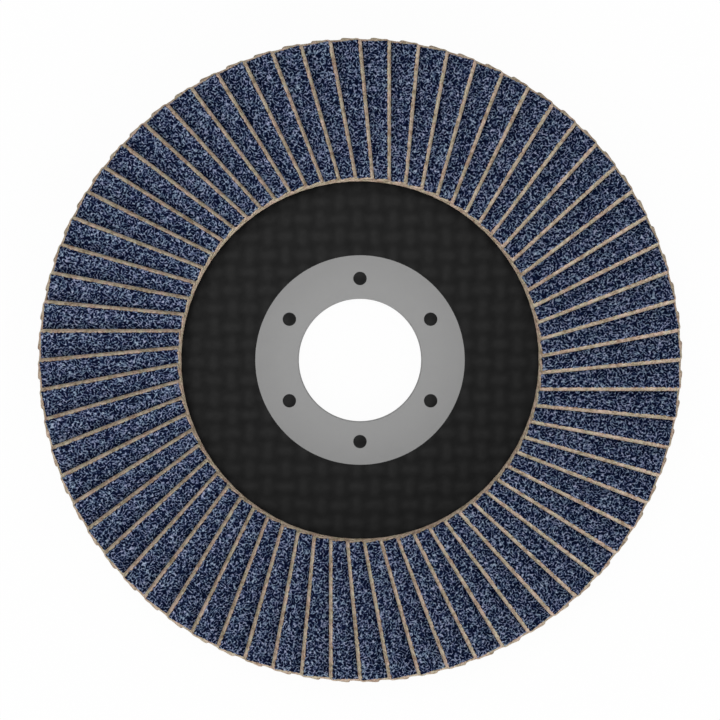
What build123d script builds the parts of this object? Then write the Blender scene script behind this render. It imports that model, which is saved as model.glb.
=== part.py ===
from build123d import *

import os
from math import asin, degrees, radians, sin

# A flap disc for an angle grinder, of the 115 mm size. Abrasive flaps, each lapping over the next like
# roof tiles, stand glued in a ring on a dished backing plate, and a pressed steel ring lines the plate's
# bore. Lengths are in millimetres and angles in degrees.
#
# The disc's axis is Z. Z = 0 is the hub's back face, which seats on the grinder's flange, and +Z points
# to the work. Every height is worked up from there: hub, dish, glued ring, flaps.

# Steel ring in the bore
bore_radius = 11.115  # a spindle bore of 7/8 inch
ring_radius = 19.0
ring_sheet = 0.5
ring_lead_in = 0.2  # chamfer between its face and the bore
ring_proud = 0.15  # its flange stands this much above the hub's front face
key_count = 6
key_circle_radius = 14.8
key_radius = 1.22

# Backing plate, a dished laminate of even thickness
plate_thickness = 2.6
dish_inner_radius = 34.3  # on the back, where the hub's face and the dish's cone would meet; under the flaps' ends
dish_run = 4.0  # how much further out the cone would meet the annulus
dish_depth = 2.8
dish_bend = 2.5  # inside radius of both bends
bend_facets = 2  # flats that each bend is pressed in
rim_chamfer = 0.4

# Abrasive flaps
flap_count = 68
flap_width = 15.25  # from the raised edge to the glued edge
flap_length = 25.35
flap_inner_reach = 32.3  # from the axis to the inner end, along the flap's own centre line
flap_overhang = 4.15  # their outer ends stand out past the plate's rim
cloth_thickness = 0.78
grain_thickness = 0.35
bare_side = 0.15  # the cut leaves bare cloth beside the grain, at the raised edge
bare_inner_end = 0.40
bare_outer_end = 0.22
flap_gap = 0.05  # between neighbours at their inner ends, where they come closest
raised_edge_reach = 5.49  # from the flap's centre line out to the raised edge
first_flap_angle = 0.0  # counter-clockwise from +X to the first flap's centre line
flaps_in_a_node = 2

# Adhesive that the glued edges stand in
glue_line = 0.3  # under the lowest edge of a flap
bed_depth = 1.8
bed_inner_setback = 6.8  # from the flaps' inner ends
bed_outer_setback = 1.5  # from the plate's rim

# Sizes that follow
annulus_front = dish_depth + plate_thickness
ring_front = plate_thickness + ring_proud
plate_radius = flap_inner_reach + flap_length - flap_overhang
flap_thickness = cloth_thickness + grain_thickness
flap_pitch = 360 / flap_count
flap_tilt = degrees(asin((flap_thickness + flap_gap) / (flap_inner_reach * sin(radians(flap_pitch)))))
glued_edge_height = annulus_front + glue_line
raised_edge_height = glued_edge_height + flap_width * sin(radians(flap_tilt))

STANDING = (Align.CENTER, Align.CENTER, Align.MIN)
CORNERED = (Align.MIN, Align.MIN, Align.MIN)


def hub_ring():
    """One steel pressing: a flange on the front and a collar through the bore, with six holes for the resin."""
    section = Polyline(
        (bore_radius, 0),
        (bore_radius + ring_sheet, 0),
        (bore_radius + ring_sheet, ring_front - ring_sheet),
        (ring_radius, ring_front - ring_sheet),
        (ring_radius, ring_front),
        (bore_radius + ring_lead_in, ring_front),
        (bore_radius, ring_front - ring_lead_in),
        close=True,
    )
    ring = revolve(Plane.XZ * make_face(section), Axis.Z)
    hole = Pos(Z=plate_thickness / 2) * Cylinder(key_radius, plate_thickness, align=STANDING)
    return ring - PolarLocations(key_circle_radius, key_count, start_angle=90) * hole


def backing_plate(ring):
    """Resin and glass mesh, pressed to a dish round the steel ring; resin fills the ring's holes as keys."""
    back = [
        (bore_radius + ring_sheet, 0),
        (dish_inner_radius, 0),
        (dish_inner_radius + dish_run, dish_depth),
        (plate_radius, dish_depth),
    ]
    bends = FilletPolyline(*back, radius=[dish_bend + plate_thickness, dish_bend])
    creased = [bends @ 0]
    for edge in bends.edges():
        steps = bend_facets if edge.geom_type == GeomType.CIRCLE else 1
        creased += [edge @ ((step + 1) / steps) for step in range(steps)]
    with BuildSketch(Plane.XZ) as section:
        with BuildLine():
            offset(Polyline(*creased), amount=plate_thickness, side=Side.LEFT, kind=Kind.INTERSECTION)
        make_face()
        chamfer(section.vertices().group_by(Axis.X)[-1], rim_chamfer)
    return revolve(section.sketch, Axis.Z) - ring


def flap():
    """A strip of coated cloth: grain on the front, stopping short of the cut edges. Its raised edge is on -Y."""
    cloth = Box(flap_length, flap_width, cloth_thickness, align=CORNERED)
    grain = Pos(bare_inner_end, bare_side, cloth_thickness) * Box(
        flap_length - bare_inner_end - bare_outer_end, flap_width - bare_side, grain_thickness, align=CORNERED
    )
    lean = Pos(flap_inner_reach, -raised_edge_reach, raised_edge_height) * Rot(X=-flap_tilt)
    return lean * (cloth + grain)


def flap_ring():
    """Every flap in its place, counter-clockwise. Each lies over its clockwise neighbour."""
    one = flap()
    return [Rot(Z=first_flap_angle + k * flap_pitch) * one for k in range(flap_count)]


def adhesive_bed(flaps):
    """The cured ring of adhesive on the plate, grooved by the edges that stand in it. Its walls have a face
    to each flap."""
    inner_radius = flap_inner_reach + bed_inner_setback
    outer_radius = plate_radius - bed_outer_setback
    outline = RegularPolygon(outer_radius, flap_count) - RegularPolygon(inner_radius, flap_count)
    bead = extrude(Pos(Z=annulus_front) * outline, bed_depth)
    return bead - flaps


def flap_nodes(flaps):
    """Neighbouring flaps share a node, as separate solids."""
    nodes = {}
    for first in range(0, flap_count, flaps_in_a_node):
        group = flaps[first : first + flaps_in_a_node]
        nodes[f"flaps_{first + 1:02d}_{first + len(group):02d}"] = Compound(children=group)
    return nodes


def main():
    ring = hub_ring()
    flaps = flap_ring()
    nodes = {
        "hub_ring": ring,
        "backing_plate": backing_plate(ring),
        "adhesive_bed": adhesive_bed(flaps),
        **flap_nodes(flaps),
    }
    os.makedirs("parts", exist_ok=True)
    for name, shape in nodes.items():
        export_step(shape, f"parts/{name}.step")


main()
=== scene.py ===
"""A 115 mm flap disc, resting on the back of its hub with its abrasive face up. Lengths are in metres."""

from math import asin, cos, pi, radians, sin

import bmesh
import bpy
from mathutils import Matrix, Vector, noise


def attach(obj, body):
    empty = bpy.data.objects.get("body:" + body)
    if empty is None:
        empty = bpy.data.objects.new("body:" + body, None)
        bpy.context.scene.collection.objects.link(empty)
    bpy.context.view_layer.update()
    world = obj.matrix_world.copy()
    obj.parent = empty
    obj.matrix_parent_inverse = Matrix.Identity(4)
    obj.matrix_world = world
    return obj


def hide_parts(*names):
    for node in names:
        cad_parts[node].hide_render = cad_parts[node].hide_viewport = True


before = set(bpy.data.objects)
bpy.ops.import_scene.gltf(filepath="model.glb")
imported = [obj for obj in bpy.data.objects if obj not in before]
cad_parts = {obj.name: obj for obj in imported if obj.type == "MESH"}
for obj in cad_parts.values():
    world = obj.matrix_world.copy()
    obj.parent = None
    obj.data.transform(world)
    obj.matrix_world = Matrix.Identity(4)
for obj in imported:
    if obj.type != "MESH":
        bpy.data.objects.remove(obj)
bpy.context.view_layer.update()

MM = 0.001
BODY = "root"

# Flaps, at the sizes and places that the frame has them
FLAP_COUNT = 68
FLAPS_IN_A_NODE = 2
FLAP_WIDTH = 15.25 * MM  # from the raised edge to the glued edge
FLAP_LENGTH = 25.35 * MM
FLAP_INNER_REACH = 32.3 * MM  # from the axis to the inner end
CLOTH_THICKNESS = 0.78 * MM
GRAIN_THICKNESS = 0.35 * MM
FLAP_GAP = 0.05 * MM
RAISED_EDGE_REACH = 5.49 * MM  # from the flap's centre line out to the raised edge
GLUED_EDGE_HEIGHT = 5.70 * MM
FIRST_FLAP_ANGLE = 0.0
FLAP_PITCH = 2 * pi / FLAP_COUNT
FLAP_TILT = asin((CLOTH_THICKNESS + GRAIN_THICKNESS + FLAP_GAP) / (FLAP_INNER_REACH * sin(FLAP_PITCH)))


# ---------------------------------------------------------------- materials


def srgb(red, green, blue):
    """A colour written as 0 to 255, as the linear values that a shader takes."""
    linear = [((c / 255 + 0.055) / 1.055) ** 2.4 if c > 10 else c / 255 / 12.92 for c in (red, green, blue)]
    return (*linear, 1.0)


class Nodes:
    """A node tree, with one short call for each kind of node."""

    def __init__(self, tree):
        self.tree = tree

    def add(self, kind, **values):
        node = self.tree.nodes.new(kind)
        for name, value in values.items():
            setattr(node, name, value)
        return node

    def put(self, socket, value):
        if isinstance(value, bpy.types.NodeSocket):
            self.tree.links.new(value, socket)
        elif value is not None:
            socket.default_value = value

    def math(self, operation, a, b=None, c=None, clamp=False):
        node = self.add("ShaderNodeMath", operation=operation, use_clamp=clamp)
        for socket, value in zip(node.inputs, (a, b, c)):
            self.put(socket, value)
        return node.outputs[0]

    def vector(self, operation, a, b=None, output="Vector"):
        node = self.add("ShaderNodeVectorMath", operation=operation)
        self.put(node.inputs[0], a)
        self.put(node.inputs[1], b)
        return node.outputs[output]

    def split(self, vector):
        node = self.add("ShaderNodeSeparateXYZ")
        self.put(node.inputs[0], vector)
        return node.outputs

    def span(self, value, low, high, to_low=0.0, to_high=1.0, smooth=False):
        """What lies between low and high, moved to lie between to_low and to_high."""
        node = self.add("ShaderNodeMapRange", interpolation_type="SMOOTHSTEP" if smooth else "LINEAR")
        ends = {"Value": value, "From Min": low, "From Max": high, "To Min": to_low, "To Max": to_high}
        for name, end in ends.items():
            self.put(node.inputs[name], end)
        return node.outputs[0]


class Finish(Nodes):
    """A material's nodes. Its patterns are laid out in the object's own coordinates."""

    def __init__(self, name):
        self.material = bpy.data.materials.new(name)
        self.material.use_nodes = True
        super().__init__(self.material.node_tree)
        self.surface = self.tree.nodes["Principled BSDF"]
        self.output = self.tree.nodes["Material Output"]
        self.place = self.add("ShaderNodeTexCoord").outputs["Object"]

    def noise(self, size, detail=2.0, roughness=0.5, output="Fac"):
        node = self.add("ShaderNodeTexNoise")
        self.put(node.inputs["Vector"], self.place)
        node.inputs["Scale"].default_value = 1 / size
        node.inputs["Detail"].default_value = detail
        node.inputs["Roughness"].default_value = roughness
        return node.outputs[output]

    def ramp(self, value, *stops):
        node = self.add("ShaderNodeValToRGB")
        self.put(node.inputs["Fac"], value)
        band = node.color_ramp.elements
        while len(band) < len(stops):
            band.new(0.5)
        for element, (position, colour) in zip(band, stops):
            element.position = position
            element.color = colour
        return node.outputs["Color"]

    def mix(self, share, first, second):
        node = self.add("ShaderNodeMix", data_type="RGBA")
        self.put(node.inputs[0], share)
        self.put(node.inputs[6], first)
        self.put(node.inputs[7], second)
        return node.outputs[2]

    def bump(self, height, depth):
        node = self.add("ShaderNodeBump")
        self.put(node.inputs["Height"], height)
        node.inputs["Strength"].default_value = 1.0
        node.inputs["Distance"].default_value = depth
        return node.outputs["Normal"]

    def set_surface(self, **sockets):
        """Sets the sockets of the material's surface, and gives the material."""
        for name, value in sockets.items():
            self.put(self.surface.inputs[name.replace("_", " ")], value)
        return self.material


GRAIN_SIZE = 0.55 * MM
FINE_GRAIN_SIZE = 0.66 * GRAIN_SIZE
YARN_PITCH = 0.45 * MM
STAIN_SIZE = 2.6 * YARN_PITCH
TINT_PATCH_SIZE = 1.3 * MM
COAT_BUMP = 0.12 * MM


def coated_cloth():
    """Blue-grey grain over tan cloth. The mesh says how much grain lies where, and how high it stands."""
    f = Finish("abrasive_on_cloth")
    coat = f.add("ShaderNodeAttribute", attribute_name="grain_cover").outputs["Fac"]
    stand = f.add("ShaderNodeAttribute", attribute_name="grain_height").outputs["Fac"]

    # Light catches the crests of the grains, which join in a fine net
    veins = f.math("ABSOLUTE", f.math("SUBTRACT", f.noise(GRAIN_SIZE, detail=0.0), 0.5))
    crests = f.math("MULTIPLY_ADD", veins, -6.0, 1.0, clamp=True)
    fine = f.noise(FINE_GRAIN_SIZE, detail=0.0)
    lit = f.math("MULTIPLY_ADD", crests, 0.52, f.span(fine, 0.2, 0.8, 0.0, 0.42))
    lit = f.math("MULTIPLY_ADD", stand, 0.14, lit)
    blue = f.ramp(
        lit,
        (0.20, srgb(0, 7, 36)),
        (0.38, srgb(13, 28, 60)),
        (0.52, srgb(62, 76, 105)),
        (0.68, srgb(116, 129, 155)),
        (0.90, srgb(172, 183, 206)),
    )

    # Cut cloth, stained here and there, with a dark line of resin where the coat ends
    threads = f.noise(YARN_PITCH, detail=2.0, roughness=0.6)
    stains = f.math("SUBTRACT", f.noise(STAIN_SIZE, detail=1.0), 0.5)
    worn = f.math("MULTIPLY_ADD", stains, 0.7, threads)
    tan = f.ramp(worn, (0.28, srgb(142, 122, 101)), (0.50, srgb(182, 165, 145)), (0.74, srgb(207, 191, 171)))
    edge = f.math("MULTIPLY_ADD", f.math("SUBTRACT", fine, 0.5), 0.6, coat)
    cover = f.span(edge, 0.42, 0.58, smooth=True)
    resin = f.span(edge, 0.30, 0.50, smooth=True)
    cloth = f.mix(resin, tan, srgb(112, 84, 70))

    # Some patches are a little warmer, and others a little greener
    patches = f.noise(TINT_PATCH_SIZE, detail=1.0)
    tint = f.ramp(patches, (0.35, (0.94, 1.02, 0.97, 1.0)), (0.65, (1.07, 0.98, 1.03, 1.0)))
    height = f.math("MULTIPLY_ADD", threads, 0.3, f.math("MULTIPLY", lit, cover))
    return f.set_surface(
        Base_Color=f.vector("MULTIPLY", f.mix(cover, cloth, blue), tint),
        Roughness=f.span(cover, 0.0, 1.0, 0.95, 0.6),
        Normal=f.bump(height, COAT_BUMP),
        Specular_IOR_Level=0.05,
    )


RING_RADIUS = 19.0 * MM
# Painted shade on the ring starts at this distance and deepens out to the ring's edge
PAINTED_SHADE_FROM = 13.0 * MM  # from the axis
STEEL_MOTTLE_SIZE = 3.0 * MM
STEEL_TOOTH_SIZE = 0.12 * MM
STEEL_TOOTH_DEPTH = 0.004 * MM


def hub_steel():
    """Zinc-grey steel, with painted shade that makes the grey a little darker towards its outer edge."""
    f = Finish("zinc_grey_steel")
    mottle = f.noise(STEEL_MOTTLE_SIZE, detail=3.0)
    grey = f.ramp(mottle, (0.3, srgb(158, 158, 158)), (0.7, srgb(164, 164, 164)))
    from_axis = f.vector("LENGTH", f.place, output="Value")
    # Painted shade: the grey is darkened towards the ring's outer edge
    painted_edge_shade = f.span(from_axis, PAINTED_SHADE_FROM, RING_RADIUS, 0.0, 0.38, smooth=True)
    return f.set_surface(
        Base_Color=f.mix(painted_edge_shade, grey, srgb(149, 149, 149)),
        Metallic=0.6,
        Roughness=f.span(mottle, 0.3, 0.7, 0.56, 0.62),
        Normal=f.bump(f.noise(STEEL_TOOTH_SIZE, detail=2.0), STEEL_TOOTH_DEPTH),
    )


WEAVE_PITCH = 3.25 * MM
WEAVE_SWAY_SIZE = 9.0 * MM
WEAVE_SWAY = 0.9 * MM
WEAVE_RELIEF = 0.022 * MM
RESIN_MOTTLE_SIZE = 1.3 * MM
RESIN_BLOTCH_SIZE = 7.0 * MM


def black_laminate():
    """Black resin over a plain weave of glass strands that shows through as low squares."""
    f = Finish("black_resin_over_glass_mesh")

    # The strands sway a little, and lie over and under each other by turns
    sway = f.vector("MULTIPLY", f.noise(WEAVE_SWAY_SIZE, output="Color"), (WEAVE_SWAY,) * 3)
    place = f.split(f.vector("ADD", f.place, sway))
    along = f.math("COSINE", f.math("MULTIPLY", place["X"], pi / WEAVE_PITCH))
    across = f.math("COSINE", f.math("MULTIPLY", place["Y"], pi / WEAVE_PITCH))
    over = f.math("MULTIPLY", along, across)
    warp = f.math("MULTIPLY", f.math("MULTIPLY", along, along), f.math("MULTIPLY_ADD", over, 0.5, 0.5))
    weft = f.math("MULTIPLY", f.math("MULTIPLY", across, across), f.math("MULTIPLY_ADD", over, -0.5, 0.5))
    strands = f.math("ADD", warp, weft)

    mottle = f.noise(RESIN_MOTTLE_SIZE, detail=3.0, roughness=0.6)
    blotch = f.math("MULTIPLY", f.noise(RESIN_BLOTCH_SIZE, detail=2.0), 0.15)
    tone = f.math("MULTIPLY_ADD", strands, 0.72, f.math("MULTIPLY_ADD", mottle, 0.32, blotch))
    black = f.ramp(tone, (0.20, srgb(2, 2, 2)), (0.48, srgb(8, 8, 8)), (0.86, srgb(23, 23, 23)))
    height = f.math("MULTIPLY_ADD", mottle, 0.5, strands)
    return f.set_surface(
        Base_Color=black,
        Roughness=f.span(mottle, 0.3, 0.7, 0.28, 0.36),
        Normal=f.bump(height, WEAVE_RELIEF),
        Specular_IOR_Level=f.span(strands, 0.0, 0.9, 0.093, 0.106),
    )


ADHESIVE_MOTTLE_SIZE = 1.5 * MM


def cured_adhesive():
    f = Finish("cured_adhesive")
    brown = f.ramp(f.noise(ADHESIVE_MOTTLE_SIZE), (0.3, srgb(52, 40, 32)), (0.7, srgb(74, 58, 46)))
    return f.set_surface(Base_Color=brown, Roughness=0.45)


# ------------------------------------------------------------------- flaps

# The grain coat stops short of the cut edges, at a ragged line
BARE_SIDE = 0.19 * MM
BARE_INNER_END = 0.28 * MM
BARE_OUTER_END = 0.27 * MM
RAGGED_LENGTH = 0.45 * MM
RAGGED_AT_INNER_END = 0.22 * MM
RAGGED_ELSEWHERE = 0.10 * MM
COAT_SLOPE = 0.15 * MM  # over which the coat rises from bare cloth to its full thickness

# Each cut corner is a little rounded, and the raised one at the rim is worn rounder
WORN_CORNER_RADIUS = 0.95 * MM
CORNER_RADIUS = 0.30 * MM

# Down the cut edge: how far each line stands out from the one before, and its height above the cloth's back
EDGE_PROFILE = (
    (0.03 * MM, 0.62 * MM),
    (0.04 * MM, 0.40 * MM),
    (0.03 * MM, 0.18 * MM),
    (0.0, 0.0),
)

# Relief of the grain, and of the frayed yarns on the cut edge
GRAIN_RELIEF = 0.10 * MM
SMALL_GRAIN_SIZE = 0.55 * GRAIN_SIZE
FRAY_SIZE = 0.35 * MM
FRAY_DEPTH = 0.05 * MM

# The strip that shows beside the neighbour has a fine mesh, which runs on a little way under the neighbour
SHOWN_SHARE = sin(FLAP_PITCH) / cos(FLAP_TILT)
TUCKED_UNDER = 0.45 * MM
STEPS_ALONG = 172  # from the inner end to the outer
STEPS_ACROSS = 32
STEPS_DOWN_OUTER_END = 20  # over the rest of the outer end, which shows at the rim


def shown_width(x):
    """How much of the flap shows beside its neighbour, at this distance from the inner end."""
    return (FLAP_INNER_REACH + x) * SHOWN_SHARE


def corner_at(x, y):
    """For a point in a corner, the centre of the corner's round and the way out from it. Elsewhere None."""
    worn = x > FLAP_LENGTH / 2 and y < FLAP_WIDTH / 2
    radius = WORN_CORNER_RADIUS if worn else CORNER_RADIUS
    centre_x = min(max(x, radius), FLAP_LENGTH - radius)
    centre_y = min(max(y, radius), FLAP_WIDTH - radius)
    way = Vector((x - centre_x, y - centre_y))
    return (centre_x, centre_y, way) if way.x and way.y else None


def with_round_corners(x, y):
    """Draws each square round a corner's centre in to a circle."""
    corner = corner_at(x, y)
    if not corner:
        return x, y
    centre_x, centre_y, way = corner
    way *= max(abs(way.x), abs(way.y)) / way.length
    return centre_x + way.x, centre_y + way.y


def outward(x, y):
    """The way out of the flap over its nearest edge, or its corner."""
    corner = corner_at(x, y)
    if corner:
        return corner[2].normalized()
    reach = {(-1, 0): x, (1, 0): FLAP_LENGTH - x, (0, -1): y, (0, 1): FLAP_WIDTH - y}
    return Vector(min(reach, key=reach.get))


def grain_cover(x, y):
    """1 on the coat, 0 on the bare cloth along the cut edges, with a ragged line between."""
    wander = noise.noise(Vector((x, y, 0)) / RAGGED_LENGTH)
    from_inner_end = x - BARE_INNER_END + RAGGED_AT_INNER_END * wander
    from_others = min(FLAP_LENGTH - BARE_OUTER_END - x, y - BARE_SIDE) + RAGGED_ELSEWHERE * wander
    return min(max(min(from_inner_end, from_others) / COAT_SLOPE + 0.5, 0.0), 1.0)


def buried_outline():
    """From the fine strip down the outer end, along the glued edge and up the inner end."""
    r = CORNER_RADIUS
    strip = shown_width(FLAP_LENGTH) + TUCKED_UNDER
    step = (FLAP_WIDTH - r - strip) / STEPS_DOWN_OUTER_END
    outer_end = [(FLAP_LENGTH, strip + step * i) for i in range(1, STEPS_DOWN_OUTER_END + 1)]
    outer_corner = [(FLAP_LENGTH, FLAP_WIDTH - r / 2), (FLAP_LENGTH, FLAP_WIDTH)]
    glued_edge = [(x, FLAP_WIDTH) for x in (FLAP_LENGTH - r / 2, FLAP_LENGTH - r, r, r / 2)]
    inner_corner = [(0, FLAP_WIDTH), (0, FLAP_WIDTH - r / 2), (0, FLAP_WIDTH - r)]
    return outer_end + outer_corner + glued_edge + inner_corner


def flap_blank():
    """A flap lying flat: X along the radius, Y from the raised edge, Z up from the back of the cloth."""
    bm = bmesh.new()
    cover = bm.verts.layers.float.new("grain_cover")
    bm.verts.layers.float.new("grain_height")

    def lay(v, x, y):
        """Puts a point on the front, on top of the grain that covers the cloth there."""
        x, y = with_round_corners(x, y)
        v[cover] = grain_cover(x, y)
        v.co = (x, y, CLOTH_THICKNESS + GRAIN_THICKNESS * v[cover])
        return v

    # A grid's points come line by line, and each line of this one is laid from the inner end to the outer
    strip = bmesh.ops.create_grid(bm, x_segments=STEPS_ALONG, y_segments=STEPS_ACROSS, size=1.0)["verts"]
    for i, v in enumerate(strip):
        across, along = divmod(i, STEPS_ALONG + 1)
        x = FLAP_LENGTH * along / STEPS_ALONG
        lay(v, x, (shown_width(x) + TUCKED_UNDER) * across / STEPS_ACROSS)
    seam = strip[-STEPS_ALONG - 1:]
    bm.faces.new(seam + [lay(bm.verts.new(), x, y) for x, y in buried_outline()])

    rim = [e for e in bm.edges if e.is_boundary]
    for outset, height in EDGE_PROFILE:
        grown = bmesh.ops.extrude_edge_only(bm, edges=rim)["geom"]
        rim = [g for g in grown if isinstance(g, bmesh.types.BMEdge)]
        for v in (g for g in grown if isinstance(g, bmesh.types.BMVert)):
            way = outward(v.co.x, v.co.y)
            v[cover] = 0.0
            v.co = (v.co.x + way.x * outset, v.co.y + way.y * outset, height)
    bmesh.ops.contextual_create(bm, geom=rim)
    bmesh.ops.recalc_face_normals(bm, faces=bm.faces)
    mesh = bpy.data.meshes.new("flap_blank")
    bm.to_mesh(mesh)
    bm.free()
    return mesh


def flap_place(index):
    raised_edge = (FLAP_INNER_REACH, -RAISED_EDGE_REACH, GLUED_EDGE_HEIGHT + FLAP_WIDTH * sin(FLAP_TILT))
    lean = Matrix.Translation(raised_edge) @ Matrix.Rotation(-FLAP_TILT, 4, "X")
    return Matrix.Rotation(FIRST_FLAP_ANGLE + index * FLAP_PITCH, 4, "Z") @ lean


def roughen(bm, place):
    """Puts the flap in its place, stands its grains up and frays its cut cloth, each flap in its own way."""
    cover = bm.verts.layers.float["grain_cover"]
    height = bm.verts.layers.float["grain_height"]
    up = place.to_3x3() @ Vector((0, 0, 1))
    for v in bm.verts:
        x, y, z = v.co
        there = place @ v.co
        if v[cover] > 0:
            stand = noise.noise(there / GRAIN_SIZE) + 0.5 * noise.noise(there / SMALL_GRAIN_SIZE)
            v[height] = stand
            if y > shown_width(x):
                stand = min(stand, 0.0)  # no grain reaches up into the neighbour
            v.co = there + up * (stand * GRAIN_RELIEF * v[cover])
        elif z > 0:
            way = outward(x, y)
            fray = noise.noise(there / FRAY_SIZE) * FRAY_DEPTH
            v.co = place @ Vector((x + way.x * fray, y + way.y * fray, z))
        else:
            v.co = there


def make_flaps(material):
    blank = flap_blank()
    for index in range(FLAP_COUNT):
        bm = bmesh.new()
        bm.from_mesh(blank)
        roughen(bm, flap_place(index))
        bm.normal_update()
        mesh = bpy.data.meshes.new(f"flap_{index + 1:02d}")
        bm.to_mesh(mesh)
        bm.free()
        mesh.shade_smooth()
        mesh.materials.append(material)
        flap = bpy.data.objects.new(mesh.name, mesh)
        bpy.context.scene.collection.objects.link(flap)
        first = index // FLAPS_IN_A_NODE * FLAPS_IN_A_NODE + 1
        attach(flap, BODY)
        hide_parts(f"flaps_{first:02d}_{first + FLAPS_IN_A_NODE - 1:02d}")
    bpy.data.meshes.remove(blank)


# --------------------------------------------------------- floor, light, camera

FLOOR_SIZE = 4.0
FLOOR_GLOW = 0.96  # share of the floor's white that is its own, where it is seen

# Angles are counter-clockwise from +X
ROOM_LEVEL = 0.72
ROOM_FADES_ABOVE = 0.4  # sine of the elevation, so straight up is 1
BRIGHT_SIDE = radians(282)
BRIGHT_SIDE_LEVEL = 1.2
LAMP_SIDE = radians(125)
LAMP_REACH = 0.23  # from the axis
LAMP_HEIGHT = 1.20
LAMP_SIZE = 0.7
LAMP_POWER = 4.2

CAMERA_HEIGHT = 1.0
VIEW_WIDTH = 0.1310  # at the floor
SENSOR = 36.0


def floor():
    """A white floor that takes the disc's shadow only faintly where it is seen."""
    bpy.ops.mesh.primitive_plane_add(size=FLOOR_SIZE)
    plane = bpy.context.object
    plane.name = "floor"
    f = Finish("white_floor")
    f.set_surface(Base_Color=(1.0, 1.0, 1.0, 1.0), Roughness=0.9, Specular_IOR_Level=0.0)
    ray = f.add("ShaderNodeLightPath").outputs
    seen = f.math("MAXIMUM", ray["Is Camera Ray"], ray["Is Glossy Ray"])
    seen = f.math("MAXIMUM", seen, ray["Is Transmission Ray"])
    glow = f.add("ShaderNodeEmission")
    blend = f.add("ShaderNodeMixShader")
    f.put(blend.inputs[0], f.math("MULTIPLY", seen, FLOOR_GLOW))
    f.put(blend.inputs[1], f.surface.outputs[0])
    f.put(blend.inputs[2], glow.outputs[0])
    f.put(f.output.inputs["Surface"], blend.outputs[0])
    plane.data.materials.append(f.material)


def room():
    """A soft white room, dark straight overhead and brightest to one side."""
    world = bpy.data.worlds.new("soft_white")
    world.use_nodes = True
    light = Nodes(world.node_tree)
    way = light.add("ShaderNodeTexCoord").outputs["Generated"]
    walls = light.span(light.split(way)["Z"], ROOM_FADES_ABOVE, 1.0, ROOM_LEVEL, 0.0)
    facing = light.vector("DOT_PRODUCT", way, (cos(BRIGHT_SIDE), sin(BRIGHT_SIDE), 0), output="Value")
    bright = light.math("MAXIMUM", facing, 0.0)
    background = light.tree.nodes["Background"]
    background.inputs["Color"].default_value = (1, 1, 1, 1)
    light.put(background.inputs["Strength"], light.math("MULTIPLY_ADD", bright, BRIGHT_SIDE_LEVEL, walls))
    bpy.context.scene.world = world
    bpy.context.scene.view_settings.view_transform = "Standard"


def lamp():
    """One wide round lamp above the disc, a little to one side and turned to its hub."""
    light = bpy.data.lights.new("soft_lamp_above", "AREA")
    light.shape = "DISK"
    light.size = LAMP_SIZE
    light.energy = LAMP_POWER
    holder = bpy.data.objects.new("soft_lamp_above", light)
    place = Vector((LAMP_REACH * cos(LAMP_SIDE), LAMP_REACH * sin(LAMP_SIDE), LAMP_HEIGHT))
    holder.location = place
    holder.rotation_euler = (-place).to_track_quat("-Z", "Y").to_euler()
    bpy.context.scene.collection.objects.link(holder)


def camera():
    """Looks straight down on the disc."""
    eye = bpy.data.cameras.new("camera")
    eye.sensor_width = SENSOR
    eye.lens = SENSOR * CAMERA_HEIGHT / VIEW_WIDTH
    eye.clip_end = 10
    holder = bpy.data.objects.new("camera", eye)
    holder.location = (0, 0, CAMERA_HEIGHT)
    bpy.context.scene.collection.objects.link(holder)
    bpy.context.scene.camera = holder


def dress(node, material):
    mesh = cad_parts[node].data
    mesh.materials.clear()
    mesh.materials.append(material)


camera()
room()
lamp()
floor()
dress("hub_ring", hub_steel())
dress("backing_plate", black_laminate())
dress("adhesive_bed", cured_adhesive())
make_flaps(coated_cloth())
